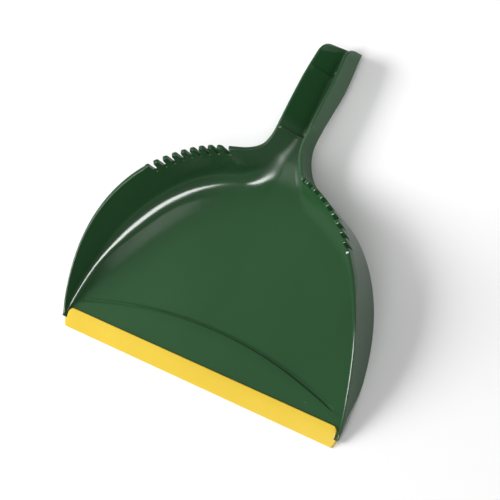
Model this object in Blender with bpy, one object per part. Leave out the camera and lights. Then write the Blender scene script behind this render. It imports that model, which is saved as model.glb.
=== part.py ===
"""Wide-mouth dust pan: one plastic pan moulding and a rubber lip on its front edge.

Frame: origin on the surface the pan rests on, under the middle of the lip's front
edge.  +X is to the right, +Y runs from the lip back to the handle, +Z is up.
All driving dimensions are in millimetres and are scaled to metres at the end.
"""
import bpy
import bmesh
import math
from mathutils import Vector

MM = 0.001

# ---- plan of the body, neck and handle (outer edge of the rim) --------------
BODY_HALF_W = 156.0        # widest half width of the body
BODY_Y_WIDE = 19.0         # where the body is widest
BODY_DEPTH = 173.0         # from there back to the crown of the outline
BODY_EXP = 2.2             # exponent of the outline's superellipse
FRONT_Y = 5.9              # front ends of the side walls
FRONT_TUCK = 1.7           # and how far they draw in from the widest part
NECK_R = 36.0              # concave sweep from body to handle
GRIP_HALF_W = 16.8         # handle, half width at the neck
GRIP_TAPER_Y = 266.0       # the handle tapers from here
GRIP_END_HALF_W = 14.2     # to this half width
GRIP_END_Y = 309.4         # at its open end, measured at floor level
GRIP_END_LEAN = 0.15       # the end leans forward this much per mm of height

# ---- heights ---------------------------------------------------------------
RIM_FRONT_Z = 3.9          # start of the rim's curve
RIM_LEAST_Z = 5.2          # height of the front ends of the walls
RIM_BACK_Z = 49.2          # rim along the body's shoulders
RIM_FULL_Y = 152.0         # the rim has reached its shoulder height here
RIM_POWER = 1.75           # how fully the rim's curve is rounded
RIM_CROWN = 4.2            # extra rise towards the neck
GRIP_RIM_Z = 30.8          # rim along the handle
GRIP_RIM_DROP = 2.4        # and how much it falls to the handle's end
DROP_START_X = 46.0        # the rim starts down to the handle here
DROP_LEN = 36.0            # length of that sweep along the rim
GRIP_CORNER_R = 10.5       # rounded top corner of the handle's side walls
FLOOR_Z = 3.2              # top of the flat floor
NECK_Z = 11.0              # floor where the neck meets the handle
NECK_RISE_Y = 180.0        # the floor starts up into the neck here
NECK_RISE_LEN = 23.0       # length of that rise
NECK_CURVE = 0.0035        # the rise follows the round back of the body
GRIP_FLOOR_Z = 7.6         # floor of the handle's channel
GRIP_SKIRT_Z = 6.0         # bottom edge of the handle's side walls
NECK_SKIRT_Z = 6.5         # further rise of that edge beside the neck
# bottom edge of the side walls near the front, by y: cut away towards the lip
SKIRT_FRONT = [(5.9, 3.0), (12, 5.0), (20, 7.2), (27, 6.6), (36, 4.0), (47, 1.2), (56, 0.0)]

# ---- thicknesses, drafts and fillets ---------------------------------------
FLOOR_T = 2.2
# wall thickness at the rim, by the rim's y
WALL = [(5, 2.0), (60, 2.1), (80, 2.5), (100, 3.0), (127, 3.7), (185, 3.8), (203, 3.1),
        (225, 2.6), (330, 2.6)]
SKIRT_T = 1.9
RIM_ROUND_OUT = 1.1        # rounding of the rim's outer and inner edges
RIM_ROUND_IN = 0.7
BODY_DRAFT = 7.0           # degrees, side walls lean outwards
GRIP_DRAFT_OUT = 4.0       # outer faces of the handle
GRIP_DRAFT_IN = 24.0       # sloping inner faces of the handle's channel
# inner fillet radius between wall and floor, by the rim's y
FILLET = [(5, 1.6), (16, 2.6), (28, 5.0), (45, 6.0), (60, 6.3), (76, 8.2), (97, 12.6),
          (120, 15.2), (142, 15.8), (159, 17.0), (176, 18.4), (188, 18.0), (200, 13.0),
          (212, 8.0), (225, 4.0), (240, 3.0), (330, 3.0)]

# ---- comb teeth on the shoulders -------------------------------------------
NOTCHES = 9
NOTCH_PITCH = 9.45
NOTCH_W = 4.8              # width of a notch at its mouth
NOTCH_FLOOR_W = 3.0        # and at its rounded bottom
TOOTH_ROUND = 1.4          # rounding of the teeth's top corners
COMB_RAISE = 0.8           # the comb stands this much above the plain rim
NOTCH_DEPTH = 10.5
NOTCH_FIRST_X = 105.8      # rim x of the left comb's front notch
RIGHT_SHIFT = -1           # the right comb and rim drop sit this many pitches along

# ---- ramp behind the lip ---------------------------------------------------
RAMP_SIDE_Y = 21.0
RAMP_MID_Y = 45.4
RAMP_H = 2.0
RAMP_STEP = 4.5

# ---- cross ribs in the handle's channel ------------------------------------
RIB_Y = (224.2, 282.4)
RIB_T = 1.5
RIB_H = 1.7

# ---- rubber lip ------------------------------------------------------------
LIP_HALF_W = 150.2         # between the side walls
LIP_FRONT_HALF_W = 149.7   # at the front edge
LIP_FLARE_HALF_W = 152.2   # just in front of the walls' ends
LIP_FRONT_Y = -1.1
LIP_BACK_Y = 15.7
LIP_CORNER_R = 5.0
LIP_TOP_Z = 5.2            # top of the lip at its back edge
LIP_FRONT_Z = 0.9          # and at its front edge
LIP_ROUND = 0.7            # rounding of its top edges
LIP_COLS = 6               # columns across half of the lip
GAP = 0.3
TONGUE_Y = 7.5             # front edge of the pan's tongue inside the lip
TONGUE_Z = (1.3, 2.5)      # its underside and top
SOLE_BACK_Y = 13.0         # back edge of the lip's lower flap

# points along each stretch of a cross-section
ROWS = dict(floor=5, fillet=4, wall=1, rim=1, outer=1, under=3, sole=2)


def lerp(a, b, t):
    return a + (b - a) * t


def smooth(t):
    t = min(max(t, 0.0), 1.0)
    return t * t * (3.0 - 2.0 * t)


def table(rows, v):
    """Smooth curve through (position, value) rows, without overshoot."""
    if v <= rows[0][0]:
        return rows[0][1]
    if v >= rows[-1][0]:
        return rows[-1][1]
    k = next(i for i in range(1, len(rows)) if v <= rows[i][0])
    slope = [(rows[i + 1][1] - rows[i][1]) / (rows[i + 1][0] - rows[i][0])
             for i in range(len(rows) - 1)]

    def tangent_at(i):
        if i == 0 or i == len(rows) - 1:
            return 0.0
        a, b = slope[i - 1], slope[i]
        return 0.0 if a * b <= 0.0 else 2.0 * a * b / (a + b)
    (a, fa), (b, fb) = rows[k - 1], rows[k]
    h = b - a
    t = (v - a) / h
    return (fa * (1 + 2 * t) * (1 - t) ** 2 + fb * t * t * (3 - 2 * t)
            + h * tangent_at(k - 1) * t * (1 - t) ** 2 - h * tangent_at(k) * t * t * (1 - t))


# ---- outline ---------------------------------------------------------------
def body_x(y):
    if y <= BODY_Y_WIDE:
        t = (BODY_Y_WIDE - y) / (BODY_Y_WIDE - FRONT_Y)
        return BODY_HALF_W - FRONT_TUCK * t ** 1.6
    t = min((y - BODY_Y_WIDE) / BODY_DEPTH, 1.0)
    return BODY_HALF_W * (1.0 - t ** BODY_EXP) ** (1.0 / BODY_EXP)


def grip_x(y):
    t = smooth((y - GRIP_TAPER_Y) / (GRIP_END_Y + 8.0 - GRIP_TAPER_Y))
    return lerp(GRIP_HALF_W, GRIP_END_HALF_W, t)


def make_outline():
    """Points along the right rim: body, neck sweep, handle."""
    body = []
    y = FRONT_Y
    while y < BODY_Y_WIDE + BODY_DEPTH - 0.4:
        body.append((body_x(y), y))
        y += 0.25 if y < 150 else 0.05
    cx = GRIP_HALF_W + NECK_R
    # the sweep's centre is where the body outline is NECK_R away
    lo, hi = 185.0, 245.0
    for _ in range(60):
        cy = 0.5 * (lo + hi)
        near = min(math.hypot(px - cx, py - cy) for px, py in body)
        if near > NECK_R:
            hi = cy
        else:
            lo = cy
    k = min(range(len(body)), key=lambda i: math.hypot(body[i][0] - cx, body[i][1] - cy))
    pts = body[:k + 1]
    a0 = math.atan2(body[k][1] - cy, body[k][0] - cx) % (2 * math.pi)
    n = 90
    for i in range(1, n + 1):
        a = lerp(a0, math.pi, i / n)
        pts.append((cx + NECK_R * math.cos(a), cy + NECK_R * math.sin(a)))
    y = cy + 0.4
    while y < GRIP_END_Y + 8.0:
        pts.append((grip_x(y), y))
        y += 0.4
    return pts


OUT = make_outline()
CUM = [0.0]
for (ax, ay), (bx, by) in zip(OUT, OUT[1:]):
    CUM.append(CUM[-1] + math.hypot(bx - ax, by - ay))


def at(s):
    """Rim point at arc length s."""
    s = min(max(s, 0.0), CUM[-1])
    lo, hi = 0, len(CUM) - 1
    while hi - lo > 1:
        m = (lo + hi) // 2
        if CUM[m] <= s:
            lo = m
        else:
            hi = m
    t = (s - CUM[lo]) / max(CUM[hi] - CUM[lo], 1e-9)
    return (lerp(OUT[lo][0], OUT[hi][0], t), lerp(OUT[lo][1], OUT[hi][1], t))


def inward(s):
    """Unit vector into the pan, square to the rim, from a chord 6 mm long."""
    a, b = at(max(s - 3.0, 0.0)), at(s + 3.0)
    dx, dy = b[0] - a[0], b[1] - a[1]
    d = math.hypot(dx, dy)
    nx, ny = -dy / d, dx / d
    y = at(s)[1]
    if y < BODY_Y_WIDE:
        return -1.0, 0.0
    w = smooth((y - 232.0) / 20.0)
    nx, ny = lerp(nx, -1.0, w), lerp(ny, 0.0, w)
    d = math.hypot(nx, ny)
    return nx / d, ny / d


def arc_at_y(y):
    return next(c for c, p in zip(CUM, OUT) if p[1] >= y)


def arc_at_x(x):
    return next(c for c, p in zip(CUM, OUT) if p[0] <= x and p[1] > BODY_Y_WIDE)


S_DROP = arc_at_x(DROP_START_X)
S_NOTCH = arc_at_x(NOTCH_FIRST_X)
S_GRIP = arc_at_y(228.0)


def rim_z(s, side):
    """Height of the rim without its teeth: side is 1 on the right, -1 on the left."""
    y = at(s)[1]
    u = min(max((y - FRONT_Y) / (RIM_FULL_Y - FRONT_Y), -0.2), 1.0)
    z = RIM_BACK_Z - (RIM_BACK_Z - RIM_FRONT_Z) * (1.0 - u) ** RIM_POWER
    z = max(z, RIM_LEAST_Z) + RIM_CROWN * smooth((y - 163.0) / 30.0)
    start = S_DROP + (RIGHT_SHIFT * NOTCH_PITCH if side > 0 else 0.0)
    if s > start:
        t = min((s - start) / DROP_LEN, 1.0)
        z = lerp(GRIP_RIM_Z, z, 0.5 * (1.0 + math.cos(math.pi * t)))
    z -= GRIP_RIM_DROP * smooth((y - 235.0) / 75.0)
    return z


def comb_start(side):
    """Arc length of a comb's front notch."""
    return S_NOTCH + (RIGHT_SHIFT * NOTCH_PITCH if side > 0 else 0.0)


def comb_raise(s, side):
    """Extra height of the comb over the plain rim."""
    a = comb_start(side) - 0.75 * NOTCH_PITCH
    b = comb_start(side) + (NOTCHES - 0.25) * NOTCH_PITCH
    return COMB_RAISE * smooth((s - a) / 2.0) * (1.0 - smooth((s - b) / 6.0))


def top_z(s, side):
    """Height of the rim with its teeth and the rounded end of the handle."""
    z = rim_z(s, side) + comb_raise(s, side)
    first = comb_start(side)
    k = round((s - first) / NOTCH_PITCH)
    if 0 <= k < NOTCHES:
        u = abs(s - first - k * NOTCH_PITCH)
        a, b = 0.5 * NOTCH_FLOOR_W, 0.5 * NOTCH_W
        if u < a:
            z -= NOTCH_DEPTH - 0.5 * a * (u / a) ** 2
        elif u < b:
            z -= lerp(NOTCH_DEPTH - 0.5 * a, TOOTH_ROUND, (u - a) / (b - a))
        elif u < b + TOOTH_ROUND:
            z -= TOOTH_ROUND - math.sqrt(TOOTH_ROUND ** 2 - (b + TOOTH_ROUND - u) ** 2)
    t = (at(s)[1] - GRIP_END_Y + GRIP_CORNER_R) / GRIP_CORNER_R
    if t > 0.0:
        z -= GRIP_CORNER_R * (1.0 - math.sqrt(max(1.0 - min(t, 1.0) ** 2, 0.0)))
    return z


def floor_z(x, y):
    """Top of the floor: ramp behind the lip, flat floor, rise into the neck."""
    z = FLOOR_Z
    fade = 1.0 - min(abs(x) / 151.0, 1.0) ** 5
    ya = RAMP_MID_Y - (RAMP_MID_Y - RAMP_SIDE_Y) * (x / 149.0) ** 2
    y1 = LIP_BACK_Y + GAP
    if y <= ya:
        z += RAMP_H * fade * min(max((y - y1) / max(ya - y1, 0.5), 0.0), 1.0)
    elif y < ya + RAMP_STEP:
        z += RAMP_H * fade * (1.0 - smooth((y - ya) / RAMP_STEP))
    z += (NECK_Z - FLOOR_Z) * smooth((y + NECK_CURVE * x * x - NECK_RISE_Y) / NECK_RISE_LEN)
    z -= (NECK_Z - GRIP_FLOOR_Z) * smooth((y - RIB_Y[0]) / 1.5)
    return z


def skirt_z(s):
    """Bottom edge of the outer walls."""
    y = at(s)[1]
    z = table(SKIRT_FRONT, y) if y < 60.0 else 0.0
    z += GRIP_SKIRT_Z * smooth((s - S_DROP - 12.0) / (S_GRIP - S_DROP - 12.0))
    z += NECK_SKIRT_Z * smooth((s - S_DROP - 3.0) / 24.0) * (1.0 - smooth((y - 222.0) / 62.0))
    return z


def on_rib(y):
    return any(abs(y - r) < 0.5 * RIB_T for r in RIB_Y)


def arc_pts(cx, cz, r, a0, a1, n):
    return [(cx + r * math.cos(lerp(a0, a1, i / n)), cz + r * math.sin(lerp(a0, a1, i / n)))
            for i in range(n + 1)]


def tangent(qd, qz, cd, cz, r):
    """Angle of the point where a line from (qd, qz) touches the fillet circle."""
    length = math.hypot(qd - cd, qz - cz)
    return math.atan2(qz - cz, qd - cd) + math.acos(min(r / length, 1.0))


def section(s, q, side):
    """One half of a cross-section: chains of (inward distance, height)."""
    x, y = at(s)
    zr, zt = rim_z(s, side), top_z(s, side)
    nx, ny = inward(s)
    g = smooth((s - S_DROP - 6.0) / (S_GRIP - S_DROP - 6.0))
    out_tan = math.tan(math.radians(lerp(BODY_DRAFT, GRIP_DRAFT_OUT, g)))
    a_in = math.radians(lerp(BODY_DRAFT, GRIP_DRAFT_IN, g))
    in_tan = math.tan(a_in)
    wt = table(WALL, y)
    ro = min(RIM_ROUND_OUT, 0.25 * (zr - FLOOR_Z))
    ri = min(RIM_ROUND_IN, ro)
    r = min(table(FILLET, y), 0.55 * (rim_z(s, -1) - ro - FLOOR_Z))
    zf = floor_z(x, y)
    for _ in range(5):
        dc = wt + (zr - zf - r) * in_tan + r / math.cos(a_in)
        zf = floor_z(max(x + nx * dc, 0.0), y + ny * dc)
    zc = zf + r
    zq = zt - ri
    dq = wt + (zr - zq) * out_tan
    at_q = tangent(dq, zq, dc, zc, r)
    td, tz = dc + r * math.cos(at_q), zc + r * math.sin(at_q)
    # a row at constant depth below the rim keeps the teeth out of the wall
    comb = smooth((y - 108.0) / 20.0) * (1.0 - smooth((s - S_DROP - 13.0) / 12.0))
    zbase = lerp(zt - 1.6, zr - NOTCH_DEPTH - 1.8, comb)
    zbase = max(min(zbase, zt - ro - 0.3), tz + 0.1)
    t = (zq - zbase) / (zq - tz)
    bd, bz = lerp(dq, td, t), zbase
    e = RIB_H if on_rib(y) else 0.0
    ic, iz = dc, zc
    if e:
        bd += e
        ic, iz = dc + e, zc + e
        at_i = tangent(bd, bz, ic, iz, r)
    else:
        at_i = at_q
    fillet = arc_pts(ic, iz, r, 1.5 * math.pi, at_i, q['fillet'])
    ti = fillet[-1]
    wall = [(lerp(ti[0], bd, i / q['wall']), lerp(ti[1], bz, i / q['wall']))
            for i in range(1, q['wall'] + 1)]
    # underside: offset fillet, then offset wall, as far as the skirt
    chain = arc_pts(dc, zc, r + FLOOR_T, 1.5 * math.pi, at_q, 48)
    ux, uz = dq - td, zq - tz
    ul = math.hypot(ux, uz)
    ex, ez = chain[-1]
    chain += [(ex + ux / ul * h, ez + uz / ul * h) for h in [0.3 * j for j in range(1, 160)]]

    def skirt_d(z):
        return SKIRT_T + (zr - z) * out_tan
    keep = [chain[0]]
    for a, b in zip(chain, chain[1:]):
        fa, fb = a[0] - skirt_d(a[1]), b[0] - skirt_d(b[1])
        if fb <= 0.0:
            keep.append((lerp(a[0], b[0], fa / (fa - fb)), lerp(a[1], b[1], fa / (fa - fb))))
            break
        keep.append(b)
    cum = [0.0]
    for a, b in zip(keep, keep[1:]):
        cum.append(cum[-1] + math.hypot(b[0] - a[0], b[1] - a[1]))
    under = []
    for i in range(q['under'] + 1):
        want, j = cum[-1] * i / q['under'], 1
        while j < len(cum) - 1 and cum[j] < want:
            j += 1
        t = (want - cum[j - 1]) / max(cum[j] - cum[j - 1], 1e-9)
        under.append((lerp(keep[j - 1][0], keep[j][0], t), lerp(keep[j - 1][1], keep[j][1], t)))
    join = under[-1]
    zb = skirt_z(s)
    zi = min(zb, join[1] - 0.2)
    skirt = [(skirt_d(zi), zi), ((zr - zb) * out_tan, zb)]
    outer = [((zr - z) * out_tan, z) for z in
             [lerp(zb, zbase, i / q['outer']) for i in range(1, q['outer'] + 1)]]
    # rim: outer quarter round, flat, inner quarter round
    zo = zt - ro
    dl = (zr - zo) * out_tan
    n = q['rim']
    rim = [(dl, zo)]
    rim += [(dl + ro * (1 - math.cos(a)), zo + ro * math.sin(a))
            for a in [math.pi / 2 * i / n for i in range(1, n + 1)]]
    rim += [(dq - ri * (1 - math.sin(a)), zq + ri * math.cos(a))
            for a in [math.pi / 2 * i / n for i in range(0, n)]]
    rim += [(dq, zq)]
    return dict(fillet=fillet, wall=wall, rim=rim[::-1], outer=outer[::-1],
                skirt=skirt[::-1], under=under[::-1])


def bow(y):
    """How far the floor's rows bend back at the middle, to follow the ramp."""
    y1 = LIP_BACK_Y + GAP
    amp = RAMP_MID_Y - RAMP_SIDE_Y
    if y <= y1:
        return 0.0
    if y <= RAMP_SIDE_Y:
        return amp * (y - y1) / (RAMP_SIDE_Y - y1)
    return amp * (1.0 - smooth((y - RAMP_SIDE_Y) / 60.0))


def half_loop(s, q, side):
    """Points of one half from the middle of the floor's top, out over the rim,
    and back under to the middle of the underside, in millimetres."""
    x, y = at(s)
    nx, ny = inward(s)
    c = section(s, q, side)
    lean = GRIP_END_LEAN * smooth((y - 282.0) / 24.0)

    def put(d, z):
        return (side * (x + nx * d), y + ny * d - lean * (z - GRIP_FLOOR_Z), z)
    e = RIB_H if on_rib(y) else 0.0
    f0 = put(*c['fillet'][0])
    loop = []
    for i in range(q['floor']):
        px = f0[0] * i / q['floor']
        py = f0[1] + bow(f0[1]) * (1.0 - (px / f0[0]) ** 2)
        loop.append((px, py, floor_z(px, py) + e))
    for part in ('fillet', 'wall', 'rim', 'outer', 'skirt', 'under'):
        loop += [put(d, z) for d, z in c[part]]
    u0 = loop[-1]
    for i in range(q['sole'] - 1, -1, -1):
        px = u0[0] * i / q['sole']
        py = u0[1] + bow(u0[1]) * (1.0 - (px / u0[0]) ** 2)
        loop.append((px, py, floor_z(px, py) - FLOOR_T))
    return loop


def stations():
    """Arc lengths of the cross-sections."""
    ys = [FRONT_Y, 10.5, LIP_BACK_Y + GAP, 18.6, RAMP_SIDE_Y, 21.9, 23.4, 27.0, 32.0, 38.0,
          46.0, 55.0, 65.0, 76.0, 87.0, 98.0, 109.0, 119.0, 129.0]
    ss = [arc_at_y(y) if y > FRONT_Y else 0.0 for y in ys]
    ss += [S_NOTCH - 1.75 * NOTCH_PITCH]
    for k in range(RIGHT_SHIFT, NOTCHES):
        m = S_NOTCH + k * NOTCH_PITCH
        for h in (0.5 * NOTCH_FLOOR_W, 0.5 * NOTCH_W, 0.5 * NOTCH_W + TOOTH_ROUND):
            ss += [m - h, m + h]
    last = ss[-1]
    ss += [lerp(last, S_GRIP, i / 11) for i in range(1, 11)]
    ys = []
    for r in RIB_Y:
        h = 0.5 * RIB_T
        ys += [r - h - 0.1, r - h + 0.1, r + h - 0.1, r + h + 0.1]
    ys += [238.0, 252.0, 266.0, 276.0, 290.0]
    ys += [GRIP_END_Y - GRIP_CORNER_R * (1.0 - t) for t in (0.0, 0.4, 0.65, 0.85, 0.97, 1.0)]
    ss += [arc_at_y(y) for y in ys]
    ss = sorted(ss)
    return [a for a, b in zip(ss, ss[1:] + [1e9]) if b - a > 0.15]


def loft(loops):
    """Closed mesh from pairs of half loops, skinned and capped at both ends."""
    bm = bmesh.new()
    rings = []
    for right, left in loops:
        rings.append([bm.verts.new(Vector(p) * MM) for p in right + left[-2:0:-1]])
    n = len(rings[0])
    for a, b in zip(rings, rings[1:]):
        for j in range(n):
            k = (j + 1) % n
            bm.faces.new((a[j], a[k], b[k], b[j]))
    bm.faces.new(rings[0][::-1])
    bm.faces.new(rings[-1])
    return bm


def clear():
    for ob in list(bpy.data.objects):
        bpy.data.objects.remove(ob, do_unlink=True)


def material(name, colour, rough):
    m = bpy.data.materials.get(name) or bpy.data.materials.new(name)
    m.use_nodes = True
    p = m.node_tree.nodes['Principled BSDF']
    p.inputs['Base Color'].default_value = (*colour, 1.0)
    p.inputs['Roughness'].default_value = rough
    p.inputs['Metallic'].default_value = 0.0
    return m


def finish(bm, name, mat, angle=30.0):
    bmesh.ops.recalc_face_normals(bm, faces=bm.faces)
    me = bpy.data.meshes.new(name)
    bm.to_mesh(me)
    bm.free()
    me.materials.append(mat)
    me.shade_smooth()
    me.set_sharp_from_angle(angle=math.radians(angle))
    ob = bpy.data.objects.new(name, me)
    bpy.context.scene.collection.objects.link(ob)
    return ob


def rounded_slab(hx, y0, y1, z0, z1, r, n=4):
    """Slab over x +-hx and y0..y1 with its two back corners rounded."""
    pts = [(hx, y0)]
    for i in range(n + 1):
        a = math.pi / 2 * i / n
        pts.append((hx - r + r * math.cos(a), y1 - r + r * math.sin(a)))
    pts += [(-px, py) for px, py in reversed(pts)]
    bm = bmesh.new()
    lo = [bm.verts.new(Vector((px, py, z0)) * MM) for px, py in pts]
    hi = [bm.verts.new(Vector((px, py, z1)) * MM) for px, py in pts]
    k = len(pts)
    for i in range(k):
        j = (i + 1) % k
        bm.faces.new((lo[i], lo[j], hi[j], hi[i]))
    bm.faces.new(lo[::-1])
    bm.faces.new(hi)
    return bm


def cutter(bm, name, mat):
    ob = finish(bm, name, mat)
    ob.hide_render = True
    ob.display_type = 'WIRE'
    return ob


def cut(ob, other):
    m = ob.modifiers.new(other.name, 'BOOLEAN')
    m.operation = 'DIFFERENCE'
    m.solver = 'EXACT'
    m.object = other


def build_pan(mat):
    pan = finish(loft([(half_loop(s, ROWS, 1), half_loop(s, ROWS, -1)) for s in stations()]),
                 'pan', mat)
    w, far = LIP_HALF_W + GAP, -12.0
    cut(pan, cutter(rounded_slab(w, far, LIP_BACK_Y + GAP, TONGUE_Z[1], 30.0,
                                 LIP_CORNER_R + GAP), 'cut_lip_seat', mat))
    cut(pan, cutter(rounded_slab(w, far, SOLE_BACK_Y + GAP, -10.0, TONGUE_Z[0], 1.0),
                    'cut_lip_sole', mat))
    cut(pan, cutter(rounded_slab(w, far, TONGUE_Y, -10.0, 30.0, 1.0), 'cut_lip_nose', mat))
    return pan


def lip_top_z(y):
    """Crowned top of the lip, thin at its front edge and rounded at its back."""
    t = (LIP_BACK_Y - y) / (LIP_BACK_Y - LIP_FRONT_Y)
    z = LIP_FRONT_Z + (LIP_TOP_Z - LIP_FRONT_Z) * (1.0 - min(max(t, 0.0), 1.0) ** 1.8)
    a = y - (LIP_BACK_Y - LIP_ROUND)
    if a > 0.0:
        z -= LIP_ROUND - math.sqrt(max(LIP_ROUND ** 2 - a ** 2, 0.0))
    b = LIP_FRONT_Y + 0.4 - y
    if b > 0.0:
        z -= 0.4 - math.sqrt(max(0.16 - b ** 2, 0.0))
    return z


def lip_half_w(y):
    """Half width of the lip: a rounded front corner, a slanted flare in front of
    the walls' ends, a straight side between the walls and a rounded back corner."""
    step = FRONT_Y - GAP
    if y < step:
        w = lerp(LIP_FRONT_HALF_W + 0.7, LIP_FLARE_HALF_W, max(y - 0.4, 0.0) / (step - 0.4))
        b = LIP_FRONT_Y + 1.5 - y
        return w - (1.5 - math.sqrt(max(2.25 - b ** 2, 0.0)) if b > 0.0 else 0.0)
    a = y - (LIP_BACK_Y - LIP_CORNER_R)
    if a > 0.0:
        return LIP_HALF_W - LIP_CORNER_R + math.sqrt(max(LIP_CORNER_R ** 2 - a ** 2, 0.01))
    return LIP_HALF_W


def lip_rows():
    """Positions of the lip's cross-sections from front to back."""
    step = FRONT_Y - GAP
    back = LIP_BACK_Y - LIP_ROUND
    return [LIP_FRONT_Y, LIP_FRONT_Y + 0.12, LIP_FRONT_Y + 0.4, LIP_FRONT_Y + 0.9, 0.4, 2.4,
            step - 0.1, step, 7.6, 9.6, LIP_BACK_Y - LIP_CORNER_R, 12.4, 13.8, back,
            back + 0.35, back + 0.6, LIP_BACK_Y]


def lip_ring(y, cols, n):
    """Closed cross-section of the lip at y, across its whole width."""
    w, zt = lip_half_w(y), lip_top_z(y)
    e = min(LIP_ROUND, 0.6 * zt)
    side = [(w, 0.0), (w, zt - e)]
    side += [(w - e * (1.0 - math.cos(a)), zt - e * (1.0 - math.sin(a)))
             for a in [math.pi / 2 * i / n for i in range(1, n + 1)]]
    top = [((w - e) * (1.0 - i / cols), zt) for i in range(1, 2 * cols)]
    under = [(-w + w * i / cols, 0.0) for i in range(1, 2 * cols)]
    ring = side + top + [(-px, pz) for px, pz in reversed(side)] + under
    return [(px, y, pz) for px, pz in ring]


def lip_body(rows, cols, n):
    bm = bmesh.new()
    rings = [[bm.verts.new(Vector(p) * MM) for p in lip_ring(y, cols, n)] for y in rows]
    k = len(rings[0])
    for a, b in zip(rings, rings[1:]):
        for i in range(k):
            j = (i + 1) % k
            bm.faces.new((a[i], a[j], b[j], b[i]))
    bm.faces.new(rings[0][::-1])
    bm.faces.new(rings[-1])
    return bm


def build_lip(mat):
    lip = finish(lip_body(lip_rows(), LIP_COLS, 2), 'lip', mat)
    far = LIP_BACK_Y + 9.0
    # the slot that takes the tongue, and the shorter lower flap
    cut(lip, cutter(rounded_slab(170.0, TONGUE_Y - GAP, far, TONGUE_Z[0] - GAP,
                                 TONGUE_Z[1] + GAP, 1.0), 'cut_lip_slot', mat))
    cut(lip, cutter(rounded_slab(170.0, SOLE_BACK_Y, far, -5.0, TONGUE_Z[0] + GAP, 1.0),
                    'cut_lip_flap', mat))
    return lip


clear()
build_pan(material('green_plastic', (0.028, 0.105, 0.036), 0.22))
build_lip(material('yellow_rubber', (0.93, 0.66, 0.045), 0.42))
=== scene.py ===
"""Looks of the dust pan: the pan moulding and the rubber lip rebuilt at full
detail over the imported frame, with procedural plastic and rubber, studio floor,
light and camera.  Millimetres are scaled to metres by MM.
"""
import bpy
import bmesh
import math
from mathutils import Matrix, Vector


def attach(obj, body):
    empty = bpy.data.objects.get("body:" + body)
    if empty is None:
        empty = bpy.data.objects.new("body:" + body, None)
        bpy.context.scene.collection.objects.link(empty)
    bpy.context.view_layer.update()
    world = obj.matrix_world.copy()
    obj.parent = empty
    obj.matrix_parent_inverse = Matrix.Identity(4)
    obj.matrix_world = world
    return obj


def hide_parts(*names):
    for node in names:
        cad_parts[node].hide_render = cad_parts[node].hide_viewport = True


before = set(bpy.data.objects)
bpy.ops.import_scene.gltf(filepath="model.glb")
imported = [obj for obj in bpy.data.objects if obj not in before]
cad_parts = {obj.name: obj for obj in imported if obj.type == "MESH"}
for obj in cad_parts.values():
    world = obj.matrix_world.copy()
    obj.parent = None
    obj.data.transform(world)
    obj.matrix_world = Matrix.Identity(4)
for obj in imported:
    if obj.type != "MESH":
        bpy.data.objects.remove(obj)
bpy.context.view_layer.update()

MM = 0.001

# ---- plan of the body, neck and handle (outer edge of the rim) --------------
BODY_HALF_W = 156.0        # widest half width of the body
BODY_Y_WIDE = 19.0         # where the body is widest
BODY_DEPTH = 173.0         # from there back to the crown of the outline
BODY_EXP = 2.2             # exponent of the outline's superellipse
FRONT_Y = 5.9              # front ends of the side walls
FRONT_TUCK = 1.7           # and how far they draw in from the widest part
NECK_R = 36.0              # concave sweep from body to handle
GRIP_HALF_W = 16.8         # handle, half width at the neck
GRIP_TAPER_Y = 266.0       # the handle tapers from here
GRIP_END_HALF_W = 14.2     # to this half width
GRIP_END_Y = 309.4         # at its open end, measured at floor level
GRIP_END_LEAN = 0.15       # the end leans forward this much per mm of height

# ---- heights ---------------------------------------------------------------
RIM_FRONT_Z = 3.9          # start of the rim's curve
RIM_LEAST_Z = 5.2          # height of the front ends of the walls
RIM_BACK_Z = 49.2          # rim along the body's shoulders
RIM_FULL_Y = 152.0         # the rim has reached its shoulder height here
RIM_POWER = 1.75           # how fully the rim's curve is rounded
RIM_CROWN = 4.2            # extra rise towards the neck
GRIP_RIM_Z = 30.8          # rim along the handle
GRIP_RIM_DROP = 2.4        # and how much it falls to the handle's end
DROP_START_X = 46.0        # the rim starts down to the handle here
DROP_LEN = 36.0            # length of that sweep along the rim
GRIP_CORNER_R = 10.5       # rounded top corner of the handle's side walls
FLOOR_Z = 3.2              # top of the flat floor
NECK_Z = 11.0              # floor where the neck meets the handle
NECK_RISE_Y = 180.0        # the floor starts up into the neck here
NECK_RISE_LEN = 23.0       # length of that rise
NECK_CURVE = 0.0035        # the rise follows the round back of the body
GRIP_FLOOR_Z = 7.6         # floor of the handle's channel
GRIP_SKIRT_Z = 6.0         # bottom edge of the handle's side walls
NECK_SKIRT_Z = 6.5         # further rise of that edge beside the neck
# bottom edge of the side walls near the front, by y: cut away towards the lip
SKIRT_FRONT = [(5.9, 3.0), (12, 5.0), (20, 7.2), (27, 6.6), (36, 4.0), (47, 1.2), (56, 0.0)]

# ---- thicknesses, drafts and fillets ---------------------------------------
FLOOR_T = 2.2
# wall thickness at the rim, by the rim's y
WALL = [(5, 2.0), (60, 2.1), (80, 2.5), (100, 3.0), (127, 3.7), (185, 3.8), (203, 3.1),
        (225, 2.6), (330, 2.6)]
SKIRT_T = 1.9
RIM_ROUND_OUT = 1.1        # rounding of the rim's outer and inner edges
RIM_ROUND_IN = 0.7
BODY_DRAFT = 7.0           # degrees, side walls lean outwards
GRIP_DRAFT_OUT = 4.0       # outer faces of the handle
GRIP_DRAFT_IN = 24.0       # sloping inner faces of the handle's channel
# inner fillet radius between wall and floor, by the rim's y
FILLET = [(5, 1.6), (16, 2.6), (28, 5.0), (45, 6.0), (60, 6.3), (76, 8.2), (97, 12.6),
          (120, 15.2), (142, 15.8), (159, 17.0), (176, 18.4), (188, 18.0), (200, 13.0),
          (212, 8.0), (225, 4.0), (240, 3.0), (330, 3.0)]

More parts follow.
